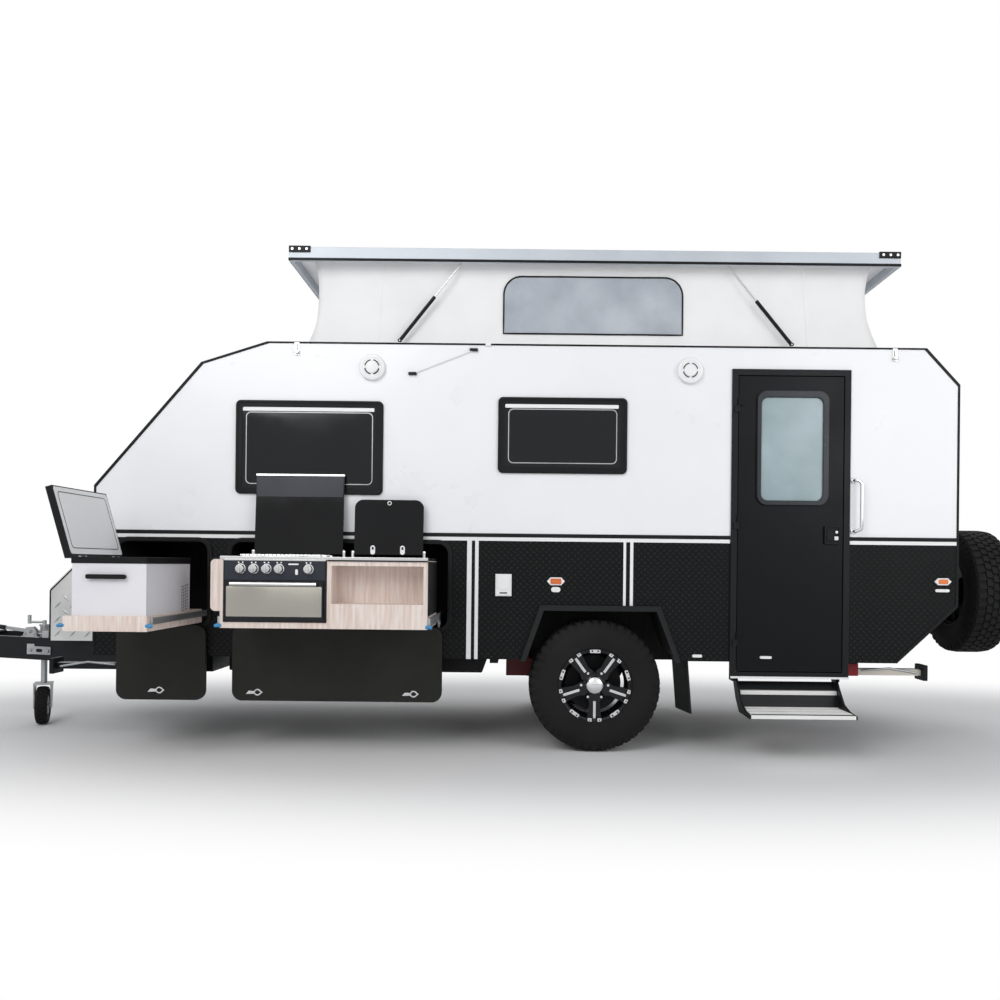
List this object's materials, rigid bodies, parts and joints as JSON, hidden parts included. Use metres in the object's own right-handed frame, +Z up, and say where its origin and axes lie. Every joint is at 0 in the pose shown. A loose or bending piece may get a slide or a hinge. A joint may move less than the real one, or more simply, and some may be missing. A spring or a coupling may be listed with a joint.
{
  "type": "off-road camper trailer",
  "caption": "Single-axle off-road camper trailer with a raised pop-top roof, slide-out outdoor kitchen and fridge, entry door, folding step and A-frame drawbar.",
  "frame": {"origin": "centre of the coupling's ball socket, on the trailer's middle line", "axes": "+X rearwards along the trailer, +Y to the far side away from the door and kitchen, +Z up"},
  "size_m": [7.3245, 3.065, 3.028],
  "materials": {
    "white_composite": "satin",
    "black_checker": "satin",
    "black_plastic": "satin",
    "black_steel": "satin",
    "red_steel": "satin",
    "galvanised": "satin",
    "bright_checker": "satin",
    "tyre": "matte",
    "black_alloy": "gloss",
    "wood": "matte",
    "stainless": "polished",
    "oven_steel": "gloss",
    "mirror_glass": "polished",
    "black_glass": "polished",
    "tinted_acrylic": "polished",
    "frosted_glass": "matte",
    "canvas": "matte",
    "grey_alloy": "satin",
    "fridge_white": "satin",
    "amber": "gloss",
    "red_lens": "gloss",
    "white_plastic": "satin",
    "plywood": "matte",
    "chrome": "polished",
    "black_poly": "matte"
  },
  "bodies": {
    "trailer": {"side_walls_upper": "white_composite", "end_walls_upper": "white_composite", "roof_deck": "white_composite", "side_walls_lower": "black_checker", "end_walls_lower": "black_checker", "floor": "plywood", "arch_trims": "black_plastic", "coupling": "black_steel", "spare_carrier": "black_steel", "slide_runners": "galvanised", "spare_tyres": "tyre", "spare_rims": "black_alloy", "drawbar_rails": "black_steel", "main_rails": "black_steel", "crossmembers": "black_steel", "water_tanks": "black_poly", "jockey_post": "galvanised", "toolbox": "bright_checker", "trailing_arms": "red_steel", "spring_units": "black_steel", "canvas": "canvas", "window_frames": "black_plastic", "window_panes": "tinted_acrylic", "door_frame": "black_steel", "hatch_frames": "black_plastic", "hatch_liners": "plywood", "hatch_doors": "black_plastic", "kitchen_cabinet": "wood", "kitchen_bench": "stainless", "oven": "oven_steel", "fridge": "fridge_white", "fridge_tray": "wood", "wall_fittings": "white_plastic", "grab_handle": "chrome", "side_markers": "amber", "tail_lamps": "red_lens", "handbrake": "galvanised"},
    "near_wheel": {"near_tyre": "tyre", "near_rim": "black_alloy"},
    "far_wheel": {"far_tyre": "tyre", "far_rim": "black_alloy"},
    "jockey_swivel_body": {"jockey_fork": "galvanised"},
    "jockey_wheel_body": {"jockey_wheel": "tyre"},
    "door": {"door_leaf": "black_steel", "door_pane": "frosted_glass"},
    "oven_door_body": {"oven_door": "mirror_glass"},
    "hob_lid_body": {"hob_lid": "black_glass"},
    "sink_lid_body": {"sink_lid": "black_glass"},
    "fridge_lid_body": {"fridge_lid": "fridge_white"},
    "step": {"entry_step": "galvanised"},
    "pop_top_body": {"pop_top": "grey_alloy"},
    "toolbox_lid_body": {"toolbox_lid": "bright_checker"},
    "barrels_front": {"strut_barrels_front": "black_steel"},
    "rods_front": {"strut_rods_front": "stainless"},
    "leg_front_near": {"stabiliser_front_near": "black_steel"},
    "leg_front_far": {"stabiliser_front_far": "black_steel"},
    "barrels_rear": {"strut_barrels_rear": "black_steel"},
    "rods_rear": {"strut_rods_rear": "stainless"},
    "leg_rear_near": {"stabiliser_rear_near": "galvanised"},
    "leg_rear_far": {"stabiliser_rear_far": "galvanised"}
  },
  "joints": [
    {"name": "near_wheel_turn", "type": "hinge", "parent": "trailer", "child": "near_wheel", "pos_m": [4.65, -0.93, -0.098], "axis": [0, 1, 0], "continuous": true},
    {"name": "far_wheel_turn", "type": "hinge", "parent": "trailer", "child": "far_wheel", "pos_m": [4.65, 0.93, -0.098], "axis": [0, 1, 0], "continuous": true},
    {"name": "jockey_swivel", "type": "hinge", "parent": "trailer", "child": "jockey_swivel_body", "pos_m": [0.89, -0.25, -0.17], "axis": [0, 0, 1], "continuous": true},
    {"name": "jockey_wheel_turn", "type": "hinge", "parent": "jockey_swivel_body", "child": "jockey_wheel_body", "pos_m": [0.90539, -0.29229, -0.37], "axis": [0.9397, 0.342, 0], "continuous": true},
    {"name": "door_swing", "type": "hinge", "parent": "trailer", "child": "door", "pos_m": [5.4885, -1.12, 0.9], "axis": [0, 0, -1], "range_deg": [0, 110]},
    {"name": "oven_door_drop", "type": "hinge", "parent": "trailer", "child": "oven_door_body", "pos_m": [2.87, -1.662, 0.321], "axis": [1, 0, 0], "range_deg": [0, 88]},
    {"name": "hob_lid_close", "type": "hinge", "parent": "trailer", "child": "hob_lid_body", "pos_m": [2.878, -1.172, 0.686], "axis": [1, 0, 0], "range_deg": [0, 94]},
    {"name": "sink_lid_close", "type": "hinge", "parent": "trailer", "child": "sink_lid_body", "pos_m": [3.41, -1.172, 0.686], "axis": [1, 0, 0], "range_deg": [0, 94]},
    {"name": "fridge_lid_close", "type": "hinge", "parent": "trailer", "child": "fridge_lid_body", "pos_m": [1.908, -1.615, 0.651], "axis": [0, 1, 0], "range_deg": [0, 106]},
    {"name": "step_fold", "type": "hinge", "parent": "trailer", "child": "step", "pos_m": [5.805, -1.01, -0.03], "axis": [1, 0, 0], "range_deg": [0, 125]},
    {"name": "pop_top_lower", "type": "slide", "parent": "trailer", "child": "pop_top_body", "axis": [0, 0, -1], "range_m": [0, 0.484], "deforming": ["canvas"]},
    {"name": "toolbox_lid_lift", "type": "hinge", "parent": "trailer", "child": "toolbox_lid_body", "pos_m": [1.315, 0, 0.638], "axis": [0, 1, 0], "range_deg": [0, 85]},
    {"name": "strut_front_tilt", "type": "hinge", "parent": "trailer", "child": "barrels_front", "pos_m": [3.444, 0, 1.983], "axis": [0, 1, 0], "range_deg": [0, 50.82]},
    {"name": "strut_front_slide", "type": "slide", "parent": "barrels_front", "child": "rods_front", "axis": [-0.6163, 0, -0.7875], "range_m": [0, 0.24015]},
    {"name": "strut_rear_tilt", "type": "hinge", "parent": "trailer", "child": "barrels_rear", "pos_m": [5.821, 0, 1.983], "axis": [0, -1, 0], "range_deg": [0, 49.46]},
    {"name": "strut_rear_slide", "type": "slide", "parent": "barrels_rear", "child": "rods_rear", "axis": [0.6355, 0, -0.7721], "range_m": [0, 0.23267]},
    {"name": "stabiliser_front_near_drop", "type": "hinge", "parent": "trailer", "child": "leg_front_near", "pos_m": [1.75, -0.9, -0.022], "axis": [0, -1, 0], "range_deg": [0, 80]},
    {"name": "stabiliser_front_far_drop", "type": "hinge", "parent": "trailer", "child": "leg_front_far", "pos_m": [1.75, 0.9, -0.022], "axis": [0, -1, 0], "range_deg": [0, 80]},
    {"name": "stabiliser_rear_near_drop", "type": "hinge", "parent": "trailer", "child": "leg_rear_near", "pos_m": [6.25, -0.9, -0.01], "axis": [0, 1, 0], "range_deg": [0, 80]},
    {"name": "stabiliser_rear_far_drop", "type": "hinge", "parent": "trailer", "child": "leg_rear_far", "pos_m": [6.25, 0.9, -0.01], "axis": [0, 1, 0], "range_deg": [0, 80]}
  ],
  "couplings": [
    {"joint": "strut_front_tilt", "follows": "pop_top_lower", "rad_per_m": 1.8306},
    {"joint": "strut_front_slide", "follows": "pop_top_lower", "ratio": 0.49514},
    {"joint": "strut_rear_tilt", "follows": "pop_top_lower", "rad_per_m": 1.7817},
    {"joint": "strut_rear_slide", "follows": "pop_top_lower", "ratio": 0.47969}
  ]
}
